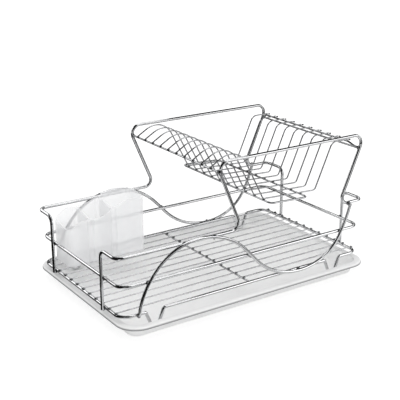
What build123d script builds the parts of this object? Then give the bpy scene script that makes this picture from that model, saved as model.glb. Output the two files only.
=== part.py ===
from build123d import *
from math import cos, radians, sin, sqrt
import os

os.makedirs("parts", exist_ok=True)

# A dish drying rack: a welded wire basket with a plate rack over it, standing in a
# shallow drip tray, with a three-cup utensil holder on the basket's floor.
# Frame: +Z up, X along the rack, origin under the centre of the drip tray.

# ---- driving dimensions, in millimetres and degrees ----

# wire diameters
main_wire = 5.0  # rings, side frames and waves
rail_wire = 3.0  # plate rails, bottom frame and floor cross wire
plate_wire = 2.2  # wires that part the plates
floor_wire = 2.0

rest_gap = 0.02  # between pieces that only rest on one another

# drip tray
tray_end_margin = 5.0  # from the base ring's centre line to the tray's edge
tray_side_margin = 26.0
tray_height = 21.5
tray_corner = 33.0
tray_wall = 2.5
tray_draft = 9.0  # how far the wall leans outward from floor to rim
tray_foot_round = 3.0
rim_width = 9.0  # from the tray's outline to the wall under the rim
rim_drop = 4.0  # height of the rim's turned-down lip
rim_crown = 3.4  # rounding over the lip
rim_inner_round = 1.2

# basket rings and their feet
ring_length = 440.0
ring_width = 248.0
ring_corner = 16.0
middle_rise = 45.5  # of the middle ring above the base ring
foot_spacing = 332.0  # between the two feet of one side
foot_spread = 30.0  # between a foot's legs at the ring
foot_neck = 10.0  # between them at the bottom
foot_depth = 25.0
foot_bend = 5.0
foot_shoulder = 4.0

# side frames
rail_rise = 89.5  # of the basket's top rail above the base ring
loop_rise = 198.2  # of the plate rack's top above the base ring
post_spacing = 157.4  # between the front and back posts of one end
rack_datum_inset = 220.0  # from the base ring's right end to the X datum of the plate rack
post_overlap = 2.0  # how far a post reaches below the base ring's centre
frame_bend = 12.0
loop_bend = 14.0
loop_left_foot = -15.3  # these four, and all X of the plate rack, are from its datum
loop_left_top = -61.9
loop_right_top = 222.3
loop_right_foot = 175.0

# waves along the basket's long sides, as X from the rack's datum and height above the base ring
wave_points = (
    (-194.0, 0.0),
    (-184.0, 33.0),
    (-154.0, 71.5),
    (-95.0, 93.0),
    (-20.0, 66.0),
    (21.0, 25.0),
    (105.0, -0.5),
    (160.0, 22.0),
    (184.0, 57.0),
    (195.5, 89.0),
)

# basket floor
floor_count = 12
floor_pitch = 20.0
floor_end = 1.5  # how far floor wires pass the centre of the ring's short side

# plate rack
plate_count = 10
plate_pitch = 22.8
plate_rise = 119.5  # of the plate wires' bottom above the base ring, at its left end
plate_slope = 0.05  # fall of that bottom towards the right
left_rail_rise = 183.0
right_rail_rise = 176.0
outer_rail_x = 205.5
outer_rail_rise = 184.4
outer_rail_reach = 105.0
outer_rail_bend = 5.0
outer_rail_tip = 5.5  # length of its ends along the right rail
outer_rail_inset = 1.0  # from a side frame's inside to the outer rail's end
crest_slope = 30.0
crest_x = -9.7
crest_bend = 34.0
right_arm_lean = 0.448
left_arm_foot = 39.8
right_arm_foot = 142.0
arm_bend = 6.0
flare_bend = 12.0
flare_overhang = 1.5  # how far the plate wires pass the outer rail's centre
bottom_frame_left = 41.0
bottom_frame_right = 113.0
bottom_frame_corner = 8.0

# utensil holder
holder_end_gap = 11.5  # from the base ring's inside to the holder's left end
holder_back_gap = 4.5
holder_length = 139.0
holder_depth = 52.0
holder_corner = 10.0
holder_foot_round = 1.5
cup_wall = 2.0
divider_places = (40.0, 80.0)  # from the holder's left end
groove_radius = 7.5  # the walls dip in at each divider
groove_depth = 3.0
drain_hole = 5.0
drain_pitch = 10.0

# its rim: distance from the left end and height over the holder's foot
front_rim = ((0.0, 61.0), (18.0, 69.0), (50.0, 71.0), (74.0, 78.0), (105.0, 91.5), (139.0, 90.0))
back_rim = ((0.0, 68.0), (18.0, 78.0), (50.0, 81.0), (74.0, 87.0), (105.0, 97.5), (139.0, 94.0))

# ---- levels and planes that follow from them ----

tray_length = ring_length + 2 * tray_end_margin
tray_width = ring_width + 2 * tray_side_margin
side_y = ring_width / 2
end_x = ring_length / 2
rack_x = end_x - rack_datum_inset
wave_y = side_y + main_wire
post_x = end_x + main_wire
post_y = post_spacing / 2
base_level = tray_wall + rest_gap + main_wire / 2 + foot_depth
middle_level = base_level + middle_rise
rail_level = base_level + rail_rise
loop_level = base_level + loop_rise
floor_level = base_level + (main_wire + floor_wire) / 2
cross_level = floor_level - (floor_wire + rail_wire) / 2
between_frames = side_y - main_wire / 2  # half the clear width between the side frames
plate_level = base_level + plate_rise
rail_weld = (rail_wire + plate_wire) / 2  # centre distance where a plate wire lies on a rail


def save(builder, name):
    builder.part.label = name
    export_step(builder.part, f"parts/{name}.step")


def diagonal_x(foot_x, top_x, level):
    """X of a side frame's diagonal at a height, between its foot and its top."""
    return rack_x + foot_x + (top_x - foot_x) * (level - rail_level) / (loop_level - rail_level)


# ---- drip tray ----

tray_rim_inside = (tray_length - 2 * rim_width, tray_width - 2 * rim_width)
tray_rim_corner = tray_corner - rim_width

with BuildPart() as drip_tray:
    with BuildSketch():
        RectangleRounded(
            tray_rim_inside[0] - 2 * tray_draft,
            tray_rim_inside[1] - 2 * tray_draft,
            tray_rim_corner - tray_draft,
        )
    with BuildSketch(Plane.XY.offset(tray_height)):
        RectangleRounded(*tray_rim_inside, tray_rim_corner)
    loft()
    fillet(drip_tray.edges().group_by(Axis.Z)[0], tray_foot_round)
    with BuildSketch(Plane.XY.offset(tray_height - rim_drop)):
        RectangleRounded(tray_length, tray_width, tray_corner)
    extrude(amount=rim_drop)
    fillet(drip_tray.faces().sort_by(Axis.Z)[-1].edges(), rim_crown)
    with BuildSketch(Plane.XY.offset(tray_height - rim_drop)):
        RectangleRounded(tray_length - 2 * tray_wall, tray_width - 2 * tray_wall, tray_corner - tray_wall)
        RectangleRounded(*tray_rim_inside, tray_rim_corner, mode=Mode.SUBTRACT)
    extrude(amount=rim_drop - tray_wall, mode=Mode.SUBTRACT)
    lean_at_floor = tray_draft * (1 - tray_wall / tray_height)
    with BuildSketch(Plane.XY.offset(tray_wall)):
        RectangleRounded(
            tray_rim_inside[0] - 2 * (tray_wall + lean_at_floor),
            tray_rim_inside[1] - 2 * (tray_wall + lean_at_floor),
            tray_rim_corner - tray_wall - lean_at_floor,
        )
    with BuildSketch(Plane.XY.offset(tray_height)):
        RectangleRounded(
            tray_rim_inside[0] - 2 * tray_wall,
            tray_rim_inside[1] - 2 * tray_wall,
            tray_rim_corner - tray_wall,
        )
    loft(mode=Mode.SUBTRACT)
    fillet(drip_tray.faces().sort_by(Axis.Z)[-1].inner_wires()[0].edges(), rim_inner_round)
save(drip_tray, "drip_tray")

# ---- basket rings ----


def foot_points(centre):
    """Corner points of one foot in the front side of the base ring, from +X to -X."""
    steps = ((foot_spread, 0), (foot_neck, foot_depth), (-foot_neck, foot_depth), (-foot_spread, 0))
    return [(centre + width / 2, -side_y, base_level - depth) for width, depth in steps]


foot_radii = [foot_shoulder, foot_bend, foot_bend, foot_shoulder]
base_path_points = [
    (end_x, 0, base_level),
    (end_x, -side_y, base_level),
    *foot_points(foot_spacing / 2),
    *foot_points(-foot_spacing / 2),
    (-end_x, -side_y, base_level),
    (-end_x, 0, base_level),
]
base_radii = [ring_corner, *foot_radii, *foot_radii, ring_corner]

with BuildPart() as base_ring:
    with BuildLine() as base_half:
        FilletPolyline(*base_path_points, radius=base_radii)
    with BuildSketch(Plane(origin=base_half.line @ 0, z_dir=base_half.line % 0)):
        Circle(main_wire / 2)
    sweep(path=base_half.line)
    mirror(about=Plane.XZ)
save(base_ring, "base_ring")

with BuildPart() as middle_ring:
    with BuildLine(Plane.XY.offset(middle_level)) as middle_path:
        FilletPolyline(
            (end_x, 0), (end_x, side_y), (-end_x, side_y), (-end_x, 0), radius=ring_corner
        )
    with BuildSketch(Plane(origin=middle_path.line @ 0, z_dir=middle_path.line % 0)):
        Circle(main_wire / 2)
    sweep(path=middle_path.line)
    mirror(about=Plane.XZ)
save(middle_ring, "middle_ring")

# ---- side frames: posts, top rail and plate rack loop, bent from one wire ----

frame_points = [
    (-post_x, -post_y, base_level - post_overlap),
    (-post_x, -post_y, rail_level),
    (-post_x, -side_y, rail_level),
    (rack_x + loop_left_foot, -side_y, rail_level),
    (rack_x + loop_left_top, -side_y, loop_level),
    (rack_x + loop_right_top, -side_y, loop_level),
    (rack_x + loop_right_foot, -side_y, rail_level),
    (post_x, -side_y, rail_level),
    (post_x, -post_y, rail_level),
    (post_x, -post_y, base_level - post_overlap),
]
frame_radii = [frame_bend] * 3 + [loop_bend] * 2 + [frame_bend] * 3

with BuildPart() as front_frame:
    with BuildLine() as frame_path:
        FilletPolyline(*frame_points, radius=frame_radii)
    with BuildSketch(Plane(origin=frame_path.line @ 0, z_dir=frame_path.line % 0)):
        Circle(main_wire / 2)
    sweep(path=frame_path.line)
save(front_frame, "front_frame")

with BuildPart() as back_frame:
    mirror(front_frame.part, about=Plane.XZ)
save(back_frame, "back_frame")

# ---- waves: welded to the outside of the rings and the top rail ----

with BuildPart() as front_wave:
    with BuildLine() as wave_path:
        Spline(*[(rack_x + x, -wave_y, base_level + rise) for x, rise in wave_points])
    with BuildSketch(Plane(origin=wave_path.line @ 0, z_dir=wave_path.line % 0)):
        Circle(main_wire / 2)
    sweep(path=wave_path.line)
save(front_wave, "front_wave")

with BuildPart() as back_wave:
    mirror(front_wave.part, about=Plane.XZ)
save(back_wave, "back_wave")

# ---- basket floor ----

floor_length = ring_length + 2 * floor_end
for number in range(floor_count):
    wire_y = (number - (floor_count - 1) / 2) * floor_pitch
    with BuildPart() as floor_rod:
        with BuildSketch(Plane.YZ.offset(-floor_length / 2)):
            with Locations((wire_y, floor_level)):
                Circle(floor_wire / 2)
        extrude(amount=floor_length)
    save(floor_rod, f"floor_wire_{number + 1}")


def cross_rail(x, level, reach):
    """A straight rail across the rack, butted between its two long sides."""
    with BuildPart() as rail:
        with BuildSketch(Plane.XZ):
            with Locations((x, level)):
                Circle(rail_wire / 2)
        extrude(amount=reach, both=True)
    return rail


save(cross_rail(0, cross_level, between_frames), "floor_cross_wire")

# ---- plate rack ----

left_rail_level = base_level + left_rail_rise
left_rail_x = diagonal_x(loop_left_foot, loop_left_top, left_rail_level)
save(cross_rail(left_rail_x, left_rail_level, between_frames), "plate_left_rail")

right_rail_level = base_level + right_rail_rise
right_rail_x = diagonal_x(loop_right_foot, loop_right_top, right_rail_level)
save(cross_rail(right_rail_x, right_rail_level, between_frames), "plate_right_rail")

outer_rail_level = base_level + outer_rail_rise
tip_offset = rail_wire / sqrt(2)  # lays the outer rail's ends along the right rail
tip_x = right_rail_x - tip_offset
tip_level = right_rail_level + tip_offset
tip_y = between_frames - outer_rail_inset
outer_rail_points = [
    (tip_x, -tip_y, tip_level),
    (tip_x, outer_rail_tip - tip_y, tip_level),
    (rack_x + outer_rail_x, -outer_rail_reach, outer_rail_level),
    (rack_x + outer_rail_x, outer_rail_reach, outer_rail_level),
    (tip_x, tip_y - outer_rail_tip, tip_level),
    (tip_x, tip_y, tip_level),
]

with BuildPart() as outer_rail:
    with BuildLine() as outer_path:
        FilletPolyline(*outer_rail_points, radius=outer_rail_bend)
    with BuildSketch(Plane(origin=outer_path.line @ 0, z_dir=outer_path.line % 0)):
        Circle(rail_wire / 2)
    sweep(path=outer_path.line)
save(outer_rail, "plate_outer_rail")


def plate_floor(x):
    """Height of the plate wires' bottom at X from the rack's datum. It falls towards the right."""
    return plate_level - plate_slope * (x - left_arm_foot)


bottom_frame_reach = between_frames - rail_wire / 2
bottom_corners = [
    (rack_x + x, y, plate_floor(x) - rail_weld)
    for x, y in (
        (bottom_frame_left, -bottom_frame_reach),
        (bottom_frame_right, -bottom_frame_reach),
        (bottom_frame_right, bottom_frame_reach),
        (bottom_frame_left, bottom_frame_reach),
    )
]

with BuildPart() as bottom_frame:
    with BuildLine() as bottom_path:
        FilletPolyline(*bottom_corners, radius=bottom_frame_corner, close=True)
    with BuildSketch(Plane(origin=bottom_path.line @ 0, z_dir=bottom_path.line % 0)):
        Circle(rail_wire / 2)
    sweep(path=bottom_path.line)
save(bottom_frame, "plate_bottom_frame")

# plate wires: from the left rail over a crest, down, under the plates, up, and out to the outer rail
slope = radians(crest_slope)
weld_x = left_rail_x - rail_weld * sin(slope)
weld_level = left_rail_level + rail_weld * cos(slope)
crest_level = weld_level + (rack_x + crest_x - weld_x) * sin(slope) / cos(slope)
flare_level = outer_rail_level + rail_weld
right_arm_top = right_arm_foot + right_arm_lean * (flare_level - plate_floor(right_arm_foot))
plate_points = [
    (weld_x - plate_wire / 2 * cos(slope), weld_level - plate_wire / 2 * sin(slope)),
    (rack_x + crest_x, crest_level),
    (rack_x + left_arm_foot, plate_level),
    (rack_x + right_arm_foot, plate_floor(right_arm_foot)),
    (rack_x + right_arm_top, flare_level),
    (rack_x + outer_rail_x + flare_overhang, flare_level),
]
plate_radii = [crest_bend, arm_bend, arm_bend, flare_bend]

for number in range(plate_count):
    wire_y = (number - (plate_count - 1) / 2) * plate_pitch
    with BuildPart() as plate_divider:
        with BuildLine(Plane.XZ.offset(-wire_y)) as plate_path:
            FilletPolyline(*plate_points, radius=plate_radii)
        with BuildSketch(Plane(origin=plate_path.line @ 0, z_dir=plate_path.line % 0)):
            Circle(plate_wire / 2)
        sweep(path=plate_path.line)
    save(plate_divider, f"plate_wire_{number + 1}")

# ---- utensil holder ----

holder_level = floor_level + floor_wire / 2 + rest_gap
holder_left = holder_end_gap - (end_x - main_wire / 2)
holder_x = holder_left + holder_length / 2
holder_back = between_frames - holder_back_gap
holder_front = holder_back - holder_depth
holder_y = (holder_front + holder_back) / 2
holder_top = max(rise for distance, rise in back_rim) + cup_wall
groove_offset = groove_radius - groove_depth
cup_edges = (0, *divider_places, holder_length)


def holder_outline(inset):
    """Rounded outline with a groove in front and back of each divider, moved inwards by an inset."""
    with Locations((holder_x, holder_y)):
        RectangleRounded(holder_length - 2 * inset, holder_depth - 2 * inset, holder_corner - inset)
    for place in divider_places:
        with Locations(
            (holder_left + place, holder_front - groove_offset),
            (holder_left + place, holder_back + groove_offset),
        ):
            Circle(groove_radius + inset, mode=Mode.SUBTRACT)


def rim_outline(rim):
    """Closed outline above a rim curve, which cuts the holder's walls down to it."""
    first, last = rim[0], rim[-1]
    stretched = [(first[0] - cup_wall, first[1]), *rim, (last[0] + cup_wall, last[1])]
    curve = Spline(*[(holder_left + distance, holder_level + rise) for distance, rise in stretched])
    ceiling = holder_level + 2 * holder_top
    Polyline(curve @ 1, ((curve @ 1).X, ceiling), ((curve @ 0).X, ceiling), curve @ 0)


with BuildPart() as utensil_holder:
    with BuildSketch(Plane.XY.offset(holder_level)):
        holder_outline(0)
    extrude(amount=holder_top)
    fillet(utensil_holder.edges().group_by(Axis.Z)[0], holder_foot_round)
    with BuildSketch(Plane.XY.offset(holder_level + cup_wall)):
        holder_outline(cup_wall)
        for place in divider_places:
            with Locations((holder_left + place, holder_y)):
                Rectangle(cup_wall, holder_depth, mode=Mode.SUBTRACT)
    extrude(amount=holder_top, mode=Mode.SUBTRACT)
    with BuildSketch(Plane.XZ.offset(cup_wall - holder_front)):
        with BuildLine():
            rim_outline(front_rim)
        make_face()
    with BuildSketch(Plane.XZ.offset(-holder_back - cup_wall)):
        with BuildLine():
            rim_outline(back_rim)
        make_face()
    loft(mode=Mode.SUBTRACT)
    for left, right in zip(cup_edges[:-1], cup_edges[1:]):
        with BuildSketch(Plane.XY.offset(holder_level)):
            with Locations((holder_left + (left + right) / 2, holder_y)):
                with GridLocations(drain_pitch, drain_pitch, 2, 3):
                    Circle(drain_hole / 2)
        extrude(amount=cup_wall, mode=Mode.SUBTRACT)
save(utensil_holder, "utensil_holder")
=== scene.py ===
from math import atan2, cos, degrees, radians, sin

import bpy
from mathutils import Matrix, Vector


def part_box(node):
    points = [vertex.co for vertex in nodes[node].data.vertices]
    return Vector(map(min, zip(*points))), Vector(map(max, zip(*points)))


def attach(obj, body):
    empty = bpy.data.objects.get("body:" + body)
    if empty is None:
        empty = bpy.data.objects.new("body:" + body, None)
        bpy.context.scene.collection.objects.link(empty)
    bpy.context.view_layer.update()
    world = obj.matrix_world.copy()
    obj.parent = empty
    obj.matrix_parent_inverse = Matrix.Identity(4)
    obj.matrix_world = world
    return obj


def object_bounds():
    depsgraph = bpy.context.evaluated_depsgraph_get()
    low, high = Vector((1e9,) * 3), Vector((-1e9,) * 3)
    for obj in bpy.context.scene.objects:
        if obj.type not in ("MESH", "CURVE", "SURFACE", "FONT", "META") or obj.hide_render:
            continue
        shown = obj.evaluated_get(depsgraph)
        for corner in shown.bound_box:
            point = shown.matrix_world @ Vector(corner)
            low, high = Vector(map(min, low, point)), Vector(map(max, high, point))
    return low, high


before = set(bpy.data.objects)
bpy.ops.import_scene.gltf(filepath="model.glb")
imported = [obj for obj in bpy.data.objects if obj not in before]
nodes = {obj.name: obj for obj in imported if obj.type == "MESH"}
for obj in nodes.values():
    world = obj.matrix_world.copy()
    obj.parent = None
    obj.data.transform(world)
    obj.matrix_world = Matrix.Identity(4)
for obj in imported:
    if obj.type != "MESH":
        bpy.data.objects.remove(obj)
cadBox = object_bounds()
scene = bpy.context.scene
print("frame loaded with", len(nodes), "nodes")


# shading helpers

mixSocket = {"factor": 0, "first": 6, "second": 7, "result": 2}  # of a Mix node that mixes colours
reliefDepth = 0.0002  # metres, for every bump


def nodeAt(tree, kind, x, y, **settings):
    node = tree.nodes.new(kind)
    node.location = (x, y)
    for name, value in settings.items():
        setattr(node, name, value)
    return node


def feed(tree, socket, source):
    if isinstance(source, bpy.types.NodeSocket):
        tree.links.new(source, socket)
    else:
        socket.default_value = source


def feedAll(tree, sockets, sources):
    for label, source in sources.items():
        feed(tree, sockets[label], source)


def mathNode(tree, x, y, operation, *terms, kind="ShaderNodeMath", **settings):
    node = nodeAt(tree, kind, x, y, operation=operation, **settings)
    for socket, term in zip(node.inputs, terms):
        feed(tree, socket, term)
    return node.outputs["Value" if operation == "LENGTH" else 0]


def vectorNode(tree, x, y, operation, *terms):
    return mathNode(tree, x, y, operation, *terms, kind="ShaderNodeVectorMath")


def mapRange(tree, x, y, value, start=0.0, end=1.0, low=0.0, high=1.0, smooth=False):
    node = nodeAt(tree, "ShaderNodeMapRange", x, y, interpolation_type="SMOOTHSTEP" if smooth else "LINEAR")
    feedAll(tree, node.inputs, {
        "Value": value, "From Min": start, "From Max": end, "To Min": low, "To Max": high})
    return node.outputs["Result"]


def mixTones(tree, x, y, factor, first, second):
    mix = nodeAt(tree, "ShaderNodeMix", x, y, data_type="RGBA")
    for part, source in (("factor", factor), ("first", first), ("second", second)):
        feed(tree, mix.inputs[mixSocket[part]], (*source, 1.0) if isinstance(source, tuple) else source)
    return mix.outputs[mixSocket["result"]]


def newGroup(name, inputs, output):
    group = bpy.data.node_groups.new(name, "ShaderNodeTree")
    group.interface.new_socket(name="Vector", in_out="INPUT", socket_type="NodeSocketVector")
    for label, value in inputs.items():
        socket = group.interface.new_socket(name=label, in_out="INPUT", socket_type="NodeSocketFloat")
        socket.default_value = value
    group.interface.new_socket(name=output, in_out="OUTPUT", socket_type="NodeSocketFloat")
    given = nodeAt(group, "NodeGroupInput", -900, 0)
    made = nodeAt(group, "NodeGroupOutput", 600, 0)
    return group, given.outputs, made.inputs[output]


def useGroup(tree, group, x, y, place, **settings):
    node = nodeAt(tree, "ShaderNodeGroup", x, y)
    node.node_tree = group
    tree.links.new(place, node.inputs["Vector"])
    feedAll(tree, node.inputs, settings)
    return node.outputs[0]


def newMaterial(name):
    material = bpy.data.materials.new(name)
    material.use_nodes = True
    tree = material.node_tree
    return material, tree, tree.nodes["Principled BSDF"]


def objectPlace(tree):
    return nodeAt(tree, "ShaderNodeTexCoord", -1400, 0).outputs["Object"]


def addRelief(tree, shader, height, strength):
    relief = nodeAt(tree, "ShaderNodeBump", -250, -250)
    feedAll(tree, relief.inputs, {"Strength": strength, "Distance": reliefDepth, "Height": height})
    tree.links.new(relief.outputs["Normal"], shader.inputs["Normal"])


# cloudy: a soft mask, for haze, smudges and uneven moulding
cloudRamp = {"start": 0.32, "end": 0.68}  # the part of the noise that is drawn out to the whole range
cloudy, given, made = newGroup("cloudy", {"Scale": 20.0, "Detail": 3.0}, "Value")
noise = nodeAt(cloudy, "ShaderNodeTexNoise", -500, 0)
feedAll(cloudy, noise.inputs, {label: given[label] for label in ("Vector", "Scale", "Detail")})
feed(cloudy, made, mapRange(cloudy, -100, 0, noise.outputs["Fac"], **cloudRamp, smooth=True))

# specks: sparse round dots, for dried water spots and dust
speckRule = {"chosenOver": 0.72, "sharpness": 9.0}
specks, given, made = newGroup("specks", {"Scale": 90.0, "Size": 0.16, "Strength": 1.0}, "Mask")
cells = nodeAt(specks, "ShaderNodeTexVoronoi", -600, 100)
feedAll(specks, cells.inputs, {label: given[label] for label in ("Vector", "Scale")})
edge = mathNode(specks, -380, 160, "SUBTRACT", given["Size"], cells.outputs["Distance"])
dot = mathNode(specks, -180, 160, "MULTIPLY", edge, speckRule["sharpness"], use_clamp=True)
draw = nodeAt(specks, "ShaderNodeSeparateColor", -380, -80)
feed(specks, draw.inputs[0], cells.outputs["Color"])
chosen = mathNode(specks, -180, -80, "GREATER_THAN", draw.outputs[0], speckRule["chosenOver"])
mask = mathNode(specks, 40, 60, "MULTIPLY", dot, chosen)
feed(specks, made, mathNode(specks, 240, 60, "MULTIPLY", mask, given["Strength"]))


# chrome plate: bright, with a breath of haze, dried spots and a faint orange peel
def chromePlate(name, values):
    material, tree, shader = newMaterial(name)
    place = objectPlace(tree)
    haze = useGroup(tree, cloudy, -900, 250, place, Scale=values["hazeScale"], Detail=values["hazeDetail"])
    spots = useGroup(tree, specks, -900, 0, place, Scale=values["spotScale"], Size=values["spotSize"])
    peel = useGroup(tree, cloudy, -900, -250, place, Scale=values["peelScale"], Detail=values["peelDetail"])
    tone = mixTones(tree, -500, 300, haze, values["colour"], values["hazeColour"])
    tone = mixTones(tree, -250, 300, spots, tone, values["spotColour"])
    dull = mapRange(tree, -500, 0, haze, low=values["roughLow"], high=values["roughHigh"])
    dull = mathNode(tree, -250, 0, "MULTIPLY_ADD", spots, values["spotRough"], dull)
    feedAll(tree, shader.inputs, {"Base Color": tone, "Roughness": dull, "Metallic": 1.0})
    addRelief(tree, shader, peel, values["peelStrength"])
    return material


thinPattern = {
    "hazeScale": 60.0, "hazeDetail": 4.0, "spotScale": 340.0, "spotSize": 0.15,
    "peelScale": 600.0, "peelDetail": 2.0, "peelStrength": 0.04,
    "roughLow": 0.08, "roughHigh": 0.17, "spotRough": 0.14}
chromeFinishes = {
    "mainChrome": {
        "colour": (0.66, 0.665, 0.672), "hazeColour": (0.60, 0.605, 0.615), "spotColour": (0.54, 0.545, 0.555),
        "hazeScale": 45.0, "hazeDetail": 4.0, "spotScale": 260.0, "spotSize": 0.17,
        "peelScale": 420.0, "peelDetail": 2.0, "peelStrength": 0.04,
        "roughLow": 0.05, "roughHigh": 0.12, "spotRough": 0.16},
    "thinChrome": thinPattern | {
        "colour": (0.47, 0.475, 0.485), "hazeColour": (0.40, 0.405, 0.415), "spotColour": (0.35, 0.355, 0.365)},
    "floorChrome": thinPattern | {
        "colour": (0.54, 0.545, 0.555), "hazeColour": (0.48, 0.485, 0.495), "spotColour": (0.40, 0.403, 0.41)},
    # the cross wire's chrome is painted darker: painted shade for where it lies under the floor wires
    "crossChromePaintedShade": thinPattern | {
        "colour": (0.44, 0.445, 0.455), "hazeColour": (0.38, 0.385, 0.395), "spotColour": (0.32, 0.323, 0.33)},
    "weldChrome": {
        "colour": (0.24, 0.245, 0.252), "hazeColour": (0.15, 0.153, 0.16), "spotColour": (0.10, 0.102, 0.106),
        "hazeScale": 300.0, "hazeDetail": 4.0, "spotScale": 700.0, "spotSize": 0.2,
        "peelScale": 900.0, "peelDetail": 2.0, "peelStrength": 0.25,
        "roughLow": 0.14, "roughHigh": 0.30, "spotRough": 0.2}}
chrome = {name: chromePlate(name, values) for name, values in chromeFinishes.items()}

# drip tray: white moulded plastic, satin, painted paler in its well and on its outer wall as painted light, and
# with a painted shade just under the lip
trayFinish = {
    "colour": (0.82, 0.82, 0.82), "shade": (0.793, 0.795, 0.798), "spotColour": (0.742, 0.745, 0.75),
    "driftScale": 9.0, "driftDetail": 3.0, "spotScale": 150.0, "spotSize": 0.16, "spotStrength": 0.55,
    "grainScale": 900.0, "grainDetail": 2.0, "grainStrength": 0.06, "roughLow": 0.44, "roughHigh": 0.56,
    "gloss": 0.38, "glow": 0.15, "glowDepth": 0.004, "glowColour": (1.0, 1.0, 1.0),
    # well and wall are painted light that lifts the shaded well and outer wall; lipShade is a painted shade
    "well": (0.915, 0.915, 0.915), "wall": (0.96, 0.96, 0.96), "lipShade": (0.25, 0.252, 0.256),
    "cornerAt": (0.1945, 0.117, 0.0),  # the centre of a corner's arc
    "wallStart": 0.0160, "wallEnd": 0.0166, "wallLean": -0.42,  # the outer wall's radius there, and its lean
    "lipTop": 0.0207, "lipFoot": 0.0190, "fadeFoot": 0.001, "fadeTop": 0.0112}
trayPlastic, tree, shader = newMaterial("trayPlastic")
place = objectPlace(tree)
drift = useGroup(
    tree, cloudy, -900, 250, place, Scale=trayFinish["driftScale"], Detail=trayFinish["driftDetail"])
spots = useGroup(
    tree, specks, -900, 0, place,
    Scale=trayFinish["spotScale"], Size=trayFinish["spotSize"], Strength=trayFinish["spotStrength"])
grain = useGroup(
    tree, cloudy, -900, -250, place, Scale=trayFinish["grainScale"], Detail=trayFinish["grainDetail"])
parts = nodeAt(tree, "ShaderNodeSeparateXYZ", -1500, -700)
tree.links.new(place, parts.inputs[0])
height = parts.outputs["Z"]
quarter = vectorNode(tree, -1500, -500, "ABSOLUTE", place)  # takes the four corners as one
inset = vectorNode(tree, -1300, -500, "SUBTRACT", quarter, trayFinish["cornerAt"])
beyond = vectorNode(tree, -1100, -500, "MAXIMUM", inset, (0.0, 0.0, 0.0))
level = vectorNode(tree, -900, -500, "MULTIPLY", beyond, (1.0, 1.0, 0.0))
reach = vectorNode(tree, -700, -500, "LENGTH", level)
upright = mathNode(tree, -500, -500, "MULTIPLY_ADD", height, trayFinish["wallLean"], reach)
outside = mapRange(tree, -300, -500, upright, trayFinish["wallStart"], trayFinish["wallEnd"])
below = mapRange(tree, -300, -700, height, trayFinish["lipTop"], trayFinish["lipFoot"])
underLip = mathNode(tree, -100, -500, "MULTIPLY", outside, below)
fade = mapRange(tree, -300, -900, height, trayFinish["fadeFoot"], trayFinish["fadeTop"], smooth=True)
paintedLipShade = mathNode(tree, 0, -700, "MULTIPLY", underLip, fade)
tone = mixTones(tree, -500, 300, drift, trayFinish["colour"], trayFinish["shade"])
tone = mixTones(tree, -250, 300, spots, tone, trayFinish["spotColour"])
# painted light: everything below the rim is lifted to the paler well tone
tone = mixTones(tree, -100, 100, below, tone, trayFinish["well"])
# painted light: the outer wall under the lip is lifted paler still
tone = mixTones(tree, -50, 200, underLip, tone, trayFinish["wall"])
# painted shade just under the lip, darkest at the top of the outer wall and fading out towards its foot
tone = mixTones(tree, 0, 300, paintedLipShade, tone, trayFinish["lipShade"])
satin = mapRange(tree, -500, 0, drift, low=trayFinish["roughLow"], high=trayFinish["roughHigh"])
feedAll(tree, shader.inputs, {
    "Base Color": tone, "Roughness": satin, "Specular IOR Level": trayFinish["gloss"],
    "Subsurface Weight": trayFinish["glow"], "Subsurface Radius": trayFinish["glowColour"],
    "Subsurface Scale": trayFinish["glowDepth"]})
addRelief(tree, shader, grain, trayFinish["grainStrength"])

# utensil holder: frosted clear plastic
holderFinish = {
    "colour": (0.955, 0.957, 0.966), "shade": (0.93, 0.934, 0.945), "alphaLow": 0.34, "alphaHigh": 0.40,
    "frostScale": 14.0, "frostDetail": 3.0, "grainScale": 1100.0, "grainDetail": 2.0, "grainStrength": 0.12,
    "roughLow": 0.30, "roughHigh": 0.48}
holderPlastic, tree, shader = newMaterial("holderPlastic")
place = objectPlace(tree)
frost = useGroup(
    tree, cloudy, -900, 250, place, Scale=holderFinish["frostScale"], Detail=holderFinish["frostDetail"])
grain = useGroup(
    tree, cloudy, -900, -250, place, Scale=holderFinish["grainScale"], Detail=holderFinish["grainDetail"])
tone = mixTones(tree, -500, 300, frost, holderFinish["colour"], holderFinish["shade"])
cover = mapRange(tree, -500, 60, frost, low=holderFinish["alphaLow"], high=holderFinish["alphaHigh"])
satin = mapRange(tree, -500, -120, frost, low=holderFinish["roughLow"], high=holderFinish["roughHigh"])
feedAll(tree, shader.inputs, {"Base Color": tone, "Alpha": cover, "Roughness": satin})
addRelief(tree, shader, grain, holderFinish["grainStrength"])
print("materials ready")


# the CAD pieces get their finish

# the cross wire gets a chrome painted darker as painted shade
pieceFinish = {
    "drip_tray": trayPlastic, "utensil_holder": holderPlastic, "floor_cross_wire": chrome["crossChromePaintedShade"]}
for name in ("base_ring", "middle_ring", "front_frame", "back_frame", "front_wave", "back_wave"):
    pieceFinish[name] = chrome["mainChrome"]
for name, item in nodes.items():
    usual = chrome["floorChrome" if name.startswith("floor_wire_") else "thinChrome"]
    item.data.materials.clear()
    item.data.materials.append(pieceFinish.get(name, usual))
print("finishes given to the frame")


# weld nuggets where wires cross

weldShape = {"cuts": 3, "puff": 0.9, "waist": 0.1, "stretch": 1.35, "squeeze": 0.8}
weldSizes = {
    "floorEnd": (0.0032, 0.0032, 0.0025), "floorMiddle": (0.0034, 0.0034, 0.0026),
    "plate": (0.0028, 0.0028, 0.0020), "plateOuter": (0.0022, 0.0022, 0.0014),
    "frame": (0.0042, 0.0042, 0.0034), "railEnd": (0.0036, 0.0036, 0.0024)}


def selectOnly(*items):
    bpy.ops.object.select_all(action="DESELECT")
    for item in items:
        item.select_set(True)
    bpy.context.view_layer.objects.active = items[0]


def pickVertices(item, test):
    bpy.ops.object.mode_set(mode="EDIT")
    bpy.ops.mesh.select_mode(type="VERT")
    bpy.ops.mesh.select_all(action="DESELECT")
    bpy.ops.object.mode_set(mode="OBJECT")
    for vertex in item.data.vertices:
        vertex.select = test(vertex.co)
    bpy.ops.object.mode_set(mode="EDIT")


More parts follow.
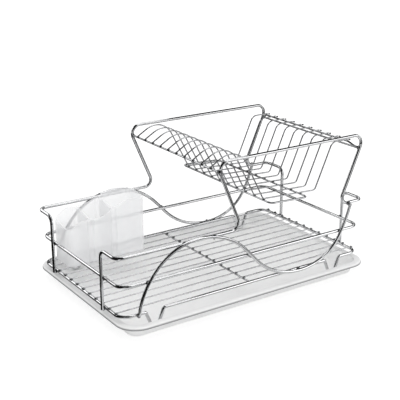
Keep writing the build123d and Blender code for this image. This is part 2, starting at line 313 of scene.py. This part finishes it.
def makeNugget():
    waist, stretch, squeeze = (weldShape[key] for key in ("waist", "stretch", "squeeze"))
    bpy.ops.object.select_all(action="DESELECT")
    bpy.ops.mesh.primitive_cube_add(size=1.0, location=(0, 0, 0))
    nugget = bpy.context.object
    bpy.ops.object.mode_set(mode="EDIT")
    bpy.ops.mesh.select_mode(type="VERT")
    bpy.ops.mesh.subdivide(number_cuts=weldShape["cuts"], smoothness=weldShape["puff"])
    pickVertices(nugget, lambda co: co.z < -waist)  # the lower half runs along the lower wire
    bpy.ops.transform.resize(value=(stretch, squeeze, 1.0), center_override=(0, 0, 0))
    pickVertices(nugget, lambda co: co.z > waist)  # and the upper half along the upper one
    bpy.ops.transform.resize(value=(squeeze, stretch, 1.0), center_override=(0, 0, 0))
    bpy.ops.mesh.select_all(action="SELECT")
    bpy.ops.mesh.normals_make_consistent(inside=False)
    bpy.ops.object.mode_set(mode="OBJECT")
    bpy.ops.object.shade_smooth()
    nugget.data.materials.append(chrome["weldChrome"])
    return nugget


nugget = makeNugget()


def weldRow(name, points, upward, lower, size):
    across = upward.cross(lower).normalized()
    along = across.cross(upward).normalized()
    turn = Matrix((along, across, upward)).transposed().to_4x4()
    copies = []
    for point in points:
        item = nugget.copy()
        item.data = nugget.data.copy()
        scene.collection.objects.link(item)
        item.data.transform(Matrix.Translation(point) @ turn @ Matrix.Diagonal((*size, 1.0)))
        copies.append(item)
    selectOnly(*copies)
    bpy.ops.object.join()
    row = bpy.context.object
    row.name = name
    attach(row, "rack")


# places of the welds, from the boxes of the wires that meet

def middleOf(name):
    low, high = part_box(name)
    return (low + high) / 2


def halfHigh(name):
    low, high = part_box(name)
    return (high.z - low.z) / 2


up = Vector((0, 0, 1))
alongX = Vector((1, 0, 0))
alongY = Vector((0, 1, 0))
mainRadius = halfHigh("middle_ring")
railRadius = halfHigh("plate_left_rail")
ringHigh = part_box("base_ring")[1]
ringEnd = ringHigh.x - mainRadius
ringSide = ringHigh.y - mainRadius
baseLevel = ringHigh.z - mainRadius
middleLevel = middleOf("middle_ring").z

floorNames = [name for name in nodes if name.startswith("floor_wire_")]
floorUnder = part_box(floorNames[0])[0].z  # where floor wires lie on the ring and the cross wire
floorY = sorted(middleOf(name).y for name in floorNames)
for name, x, size in (
    ("floorWeldsLeft", -ringEnd, weldSizes["floorEnd"]),
    ("floorWeldsRight", ringEnd, weldSizes["floorEnd"]),
    ("floorWeldsMiddle", middleOf("floor_cross_wire").x, weldSizes["floorMiddle"]),
):
    weldRow(name, [Vector((x, y, floorUnder)) for y in floorY], up, alongY, size)

crestSlope = radians(30)  # of the plate wires where they lie on the left rail
crestUp = Vector((-sin(crestSlope), 0, cos(crestSlope)))
plateY = sorted(middleOf(name).y for name in nodes if name.startswith("plate_wire_"))
bottomLow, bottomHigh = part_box("plate_bottom_frame")
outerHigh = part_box("plate_outer_rail")[1]
for name, point, upward, size in (
    ("plateWeldsLeft", middleOf("plate_left_rail") + crestUp * railRadius, crestUp, weldSizes["plate"]),
    ("plateWeldsBottomLeft", Vector((bottomLow.x + railRadius, 0, bottomHigh.z)), up, weldSizes["plate"]),
    ("plateWeldsBottomRight",
     Vector((bottomHigh.x - railRadius, 0, bottomLow.z + 2 * railRadius)), up, weldSizes["plate"]),
    ("plateWeldsOuter", Vector((outerHigh.x - railRadius, 0, outerHigh.z)), up, weldSizes["plateOuter"]),
):
    weldRow(name, [Vector((point.x, y, point.z)) for y in plateY], upward, alongY, size)

waveWelds = {  # X of each weld, and the top rail's height above the base ring
    "onBase": (-0.1934, 0.0944), "onMiddle": (-0.1773, 0.0002, 0.1784), "onRail": (-0.1170, -0.0663, 0.1934),
    "railRise": 0.0895}
waveRows = (
    (baseLevel, waveWelds["onBase"]), (middleLevel, waveWelds["onMiddle"]),
    (baseLevel + waveWelds["railRise"], waveWelds["onRail"]))
for side, sign in (("Front", -1), ("Back", 1)):
    y = sign * (ringSide + mainRadius)
    points = [Vector((x, y, z)) for z, row in waveRows for x in row]
    weldRow("waveWelds" + side, points, Vector((0, sign, 0)), alongX, weldSizes["frame"])
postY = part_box("back_frame")[0].y + mainRadius
for side, sign in (("Left", -1), ("Right", 1)):
    x = sign * (ringEnd + mainRadius)
    points = [Vector((x, y, z)) for y in (-postY, postY) for z in (baseLevel, middleLevel)]
    weldRow("postWelds" + side, points, Vector((sign, 0, 0)), alongY, weldSizes["frame"])
for side, rail in (("Left", "plate_left_rail"), ("Right", "plate_right_rail")):
    low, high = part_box(rail)
    points = [Vector(((low.x + high.x) / 2, y, (low.z + high.z) / 2)) for y in (low.y, high.y)]
    weldRow("railWelds" + side, points, alongY, alongX, weldSizes["railEnd"])
bpy.data.objects.remove(nugget)
print("welds placed")


# studio: pale floor, soft lamps, and flags that only reflections see: dark and grey sheets that paint darker
# reflections into the metal

studio = {
    "floorSize": 8.0, "floorColour": 0.86, "floorMottle": 0.99, "mottleScale": 3.0, "mottleDetail": 2.0,
    "floorRough": 0.9, "floorSeen": 0.34, "glowNear": 0.75, "glowFar": 1.0, "glowStart": 0.45, "glowEnd": 1.6,
    "worldFill": 0.74, "worldSeen": 1.0}
flagSides = 180
flags = {  # half length, half width, foot, top, first and last bearing, tone
    "nearFlag": (0.30, 0.225, 0.0, 0.085, 100.0, 195.0, 0.012),
    "farFlagBack": (0.56, 0.47, 0.0, 0.228, 60.0, 203.0, 0.012),
    "farFlagHigh": (0.56, 0.47, 0.345, 0.55, 60.0, 203.0, 0.012),
    "farFlagFront": (0.64, 0.62, 0.0, 0.20, -130.0, -16.0, 0.010),
    "cameraFlag": (1.20, 1.20, 0.30, 2.40, -110.0, 20.0, 0.006),
    "edgeFlag": (1.18, 1.18, 0.475, 1.60, 20.0, 28.2, 0.85)}
cards = {  # middle, size, turn, tone
    "sideFlag": ((-0.896, 0.357, 0.0006), (1.6, 3.0), -33.0, 0.010),
    "legFlag": ((-0.055, -0.345, 0.0008), (0.46, 0.26), 0.0, 0.012),
    "topFlagRight": ((0.30, -0.08, 0.42), (0.34, 0.66), 0.0, 0.02),
    "topFlagLeft": ((-0.42, -0.04, 0.60), (0.70, 0.94), 0.0, 0.02)}
# the table sheet paints a dark reflection of the table round the tray into the chrome
tableFlag = {  # an oval sheet on the table, open round the tray
    "reach": (1.44, 1.04), "opening": 0.34, "place": (0, -0.20, 0.0004), "cone": 0.0001, "tone": 0.18}
lamps = (  # place, size, watts, whether reflections see it
    ("topSoftbox", (0.1, 0.15, 1.55), (2.4, 2.0), 10.0, True),
    ("rightSoftbox", (1.15, -1.45, 0.85), (1.4, 1.1), 8.0, True),
    ("backSoftbox", (-0.75, 1.7, 1.25), (1.5, 1.1), 6.0, True),
    ("frontFill", (-0.85, -1.35, 0.42), (1.8, 0.7), 4.0, False))
lampAim = Vector((0, 0, 0.08))
ground = Vector((0, 0, cadBox[0].z))
white = (1, 1, 1, 1)
black = (0, 0, 0, 1)


def seenDirectly(tree, x, y):
    rays = nodeAt(tree, "ShaderNodeLightPath", x, y).outputs
    seen = mathNode(tree, x + 200, y, "MAXIMUM", rays["Is Camera Ray"], rays["Is Glossy Ray"])
    return mathNode(tree, x + 400, y, "MAXIMUM", seen, rays["Is Transmission Ray"])


def grey(level):
    return (level, level, level)


floorWhite, tree, shader = newMaterial("floorWhite")
place = objectPlace(tree)
seen = seenDirectly(tree, -1100, -300)
mottle = useGroup(
    tree, cloudy, -900, 300, place, Scale=studio["mottleScale"], Detail=studio["mottleDetail"])
paper = mixTones(
    tree, -600, 300, mottle, grey(studio["floorColour"]), grey(studio["floorMottle"] * studio["floorColour"]))
paper = mixTones(tree, -300, 200, seen, paper, grey(studio["floorSeen"]))
away = vectorNode(tree, -900, -600, "LENGTH", place)
spread = mapRange(
    tree, -600, -600, away, studio["glowStart"], studio["glowEnd"],
    studio["glowNear"], studio["glowFar"], smooth=True)
glow = mathNode(tree, -300, -400, "MULTIPLY", seen, spread)
feedAll(tree, shader.inputs, {
    "Base Color": paper, "Roughness": studio["floorRough"], "Specular IOR Level": 0.0,
    "Emission Color": white, "Emission Strength": glow})

bpy.ops.object.select_all(action="DESELECT")
bpy.ops.mesh.primitive_plane_add(size=studio["floorSize"], location=ground)
floor = bpy.context.object
floor.name = "studioFloor"
floor.data.materials.append(floorWhite)

world = bpy.data.worlds.new("studioWorld")
scene.world = world
world.use_nodes = True
tree = world.node_tree
seen = seenDirectly(tree, -900, 0)
strength = mapRange(tree, -300, 0, seen, low=studio["worldFill"], high=studio["worldSeen"])
feedAll(tree, tree.nodes["Background"].inputs, {"Color": white, "Strength": strength})


def hideFlag(flag, name, tone):
    dark, tree, shader = newMaterial(name)
    feedAll(tree, shader.inputs, {
        "Base Color": black, "Specular IOR Level": 0.0, "Emission Color": white, "Emission Strength": tone})
    flag.data.materials.append(dark)
    flag.name = name
    flag.visible_camera = False
    flag.visible_diffuse = False
    flag.visible_transmission = False
    flag.visible_shadow = False


for name, (halfLength, halfWidth, foot, top, first, last, tone) in flags.items():
    bpy.ops.object.select_all(action="DESELECT")
    bpy.ops.mesh.primitive_cylinder_add(
        vertices=flagSides, radius=1.0, depth=top - foot, end_fill_type="NOTHING",
        location=ground + up * (foot + top) / 2)
    flag = bpy.context.object
    pickVertices(flag, lambda co: (degrees(atan2(co.x, -co.y)) - first) % 360 > last - first)
    bpy.ops.mesh.delete(type="VERT")
    bpy.ops.object.mode_set(mode="OBJECT")
    flag.scale = (halfLength, halfWidth, 1.0)
    hideFlag(flag, name, tone)
for name, (middle, size, turn, tone) in cards.items():
    bpy.ops.object.select_all(action="DESELECT")
    bpy.ops.mesh.primitive_plane_add(
        size=1.0, location=ground + Vector(middle), rotation=(0, 0, radians(turn)))
    bpy.context.object.scale = (*size, 1.0)
    hideFlag(bpy.context.object, name, tone)
bpy.ops.object.select_all(action="DESELECT")
bpy.ops.mesh.primitive_cone_add(
    vertices=flagSides, radius1=1.0, radius2=tableFlag["opening"], depth=tableFlag["cone"],
    end_fill_type="NOTHING", location=ground + Vector(tableFlag["place"]))
bpy.context.object.scale = (*tableFlag["reach"], 1.0)
hideFlag(bpy.context.object, "tableFlag", tableFlag["tone"])

for name, spot, size, power, mirrored in lamps:
    light = bpy.data.lights.new(name, "AREA")
    light.shape = "RECTANGLE"
    light.size, light.size_y = size
    light.energy = power
    lamp = bpy.data.objects.new(name, light)
    scene.collection.objects.link(lamp)
    lamp.visible_glossy = mirrored
    lamp.location = spot
    lamp.rotation_mode = "QUATERNION"
    lamp.rotation_quaternion = (lampAim - Vector(spot)).to_track_quat("-Z", "Y")
print("studio lit")


# camera

lens = {
    "azimuth": -33.996, "elevation": 19.183, "aim": (-0.0336, -0.0417, 0.0289), "distance": 1.3577,
    "focal": 80.46, "sensor": 36.0}
azimuth, elevation = radians(lens["azimuth"]), radians(lens["elevation"])
backward = Vector((sin(azimuth) * cos(elevation), -cos(azimuth) * cos(elevation), sin(elevation)))
cameraData = bpy.data.cameras.new("mainCamera")
cameraData.lens = lens["focal"]
cameraData.sensor_width = lens["sensor"]
camera = bpy.data.objects.new("mainCamera", cameraData)
scene.collection.objects.link(camera)
camera.rotation_mode = "QUATERNION"
camera.location = (cadBox[0] + cadBox[1]) / 2 + Vector(lens["aim"]) + backward * lens["distance"]
camera.rotation_quaternion = (-backward).to_track_quat("-Z", "Y")
scene.camera = camera
scene.view_settings.view_transform = "Standard"
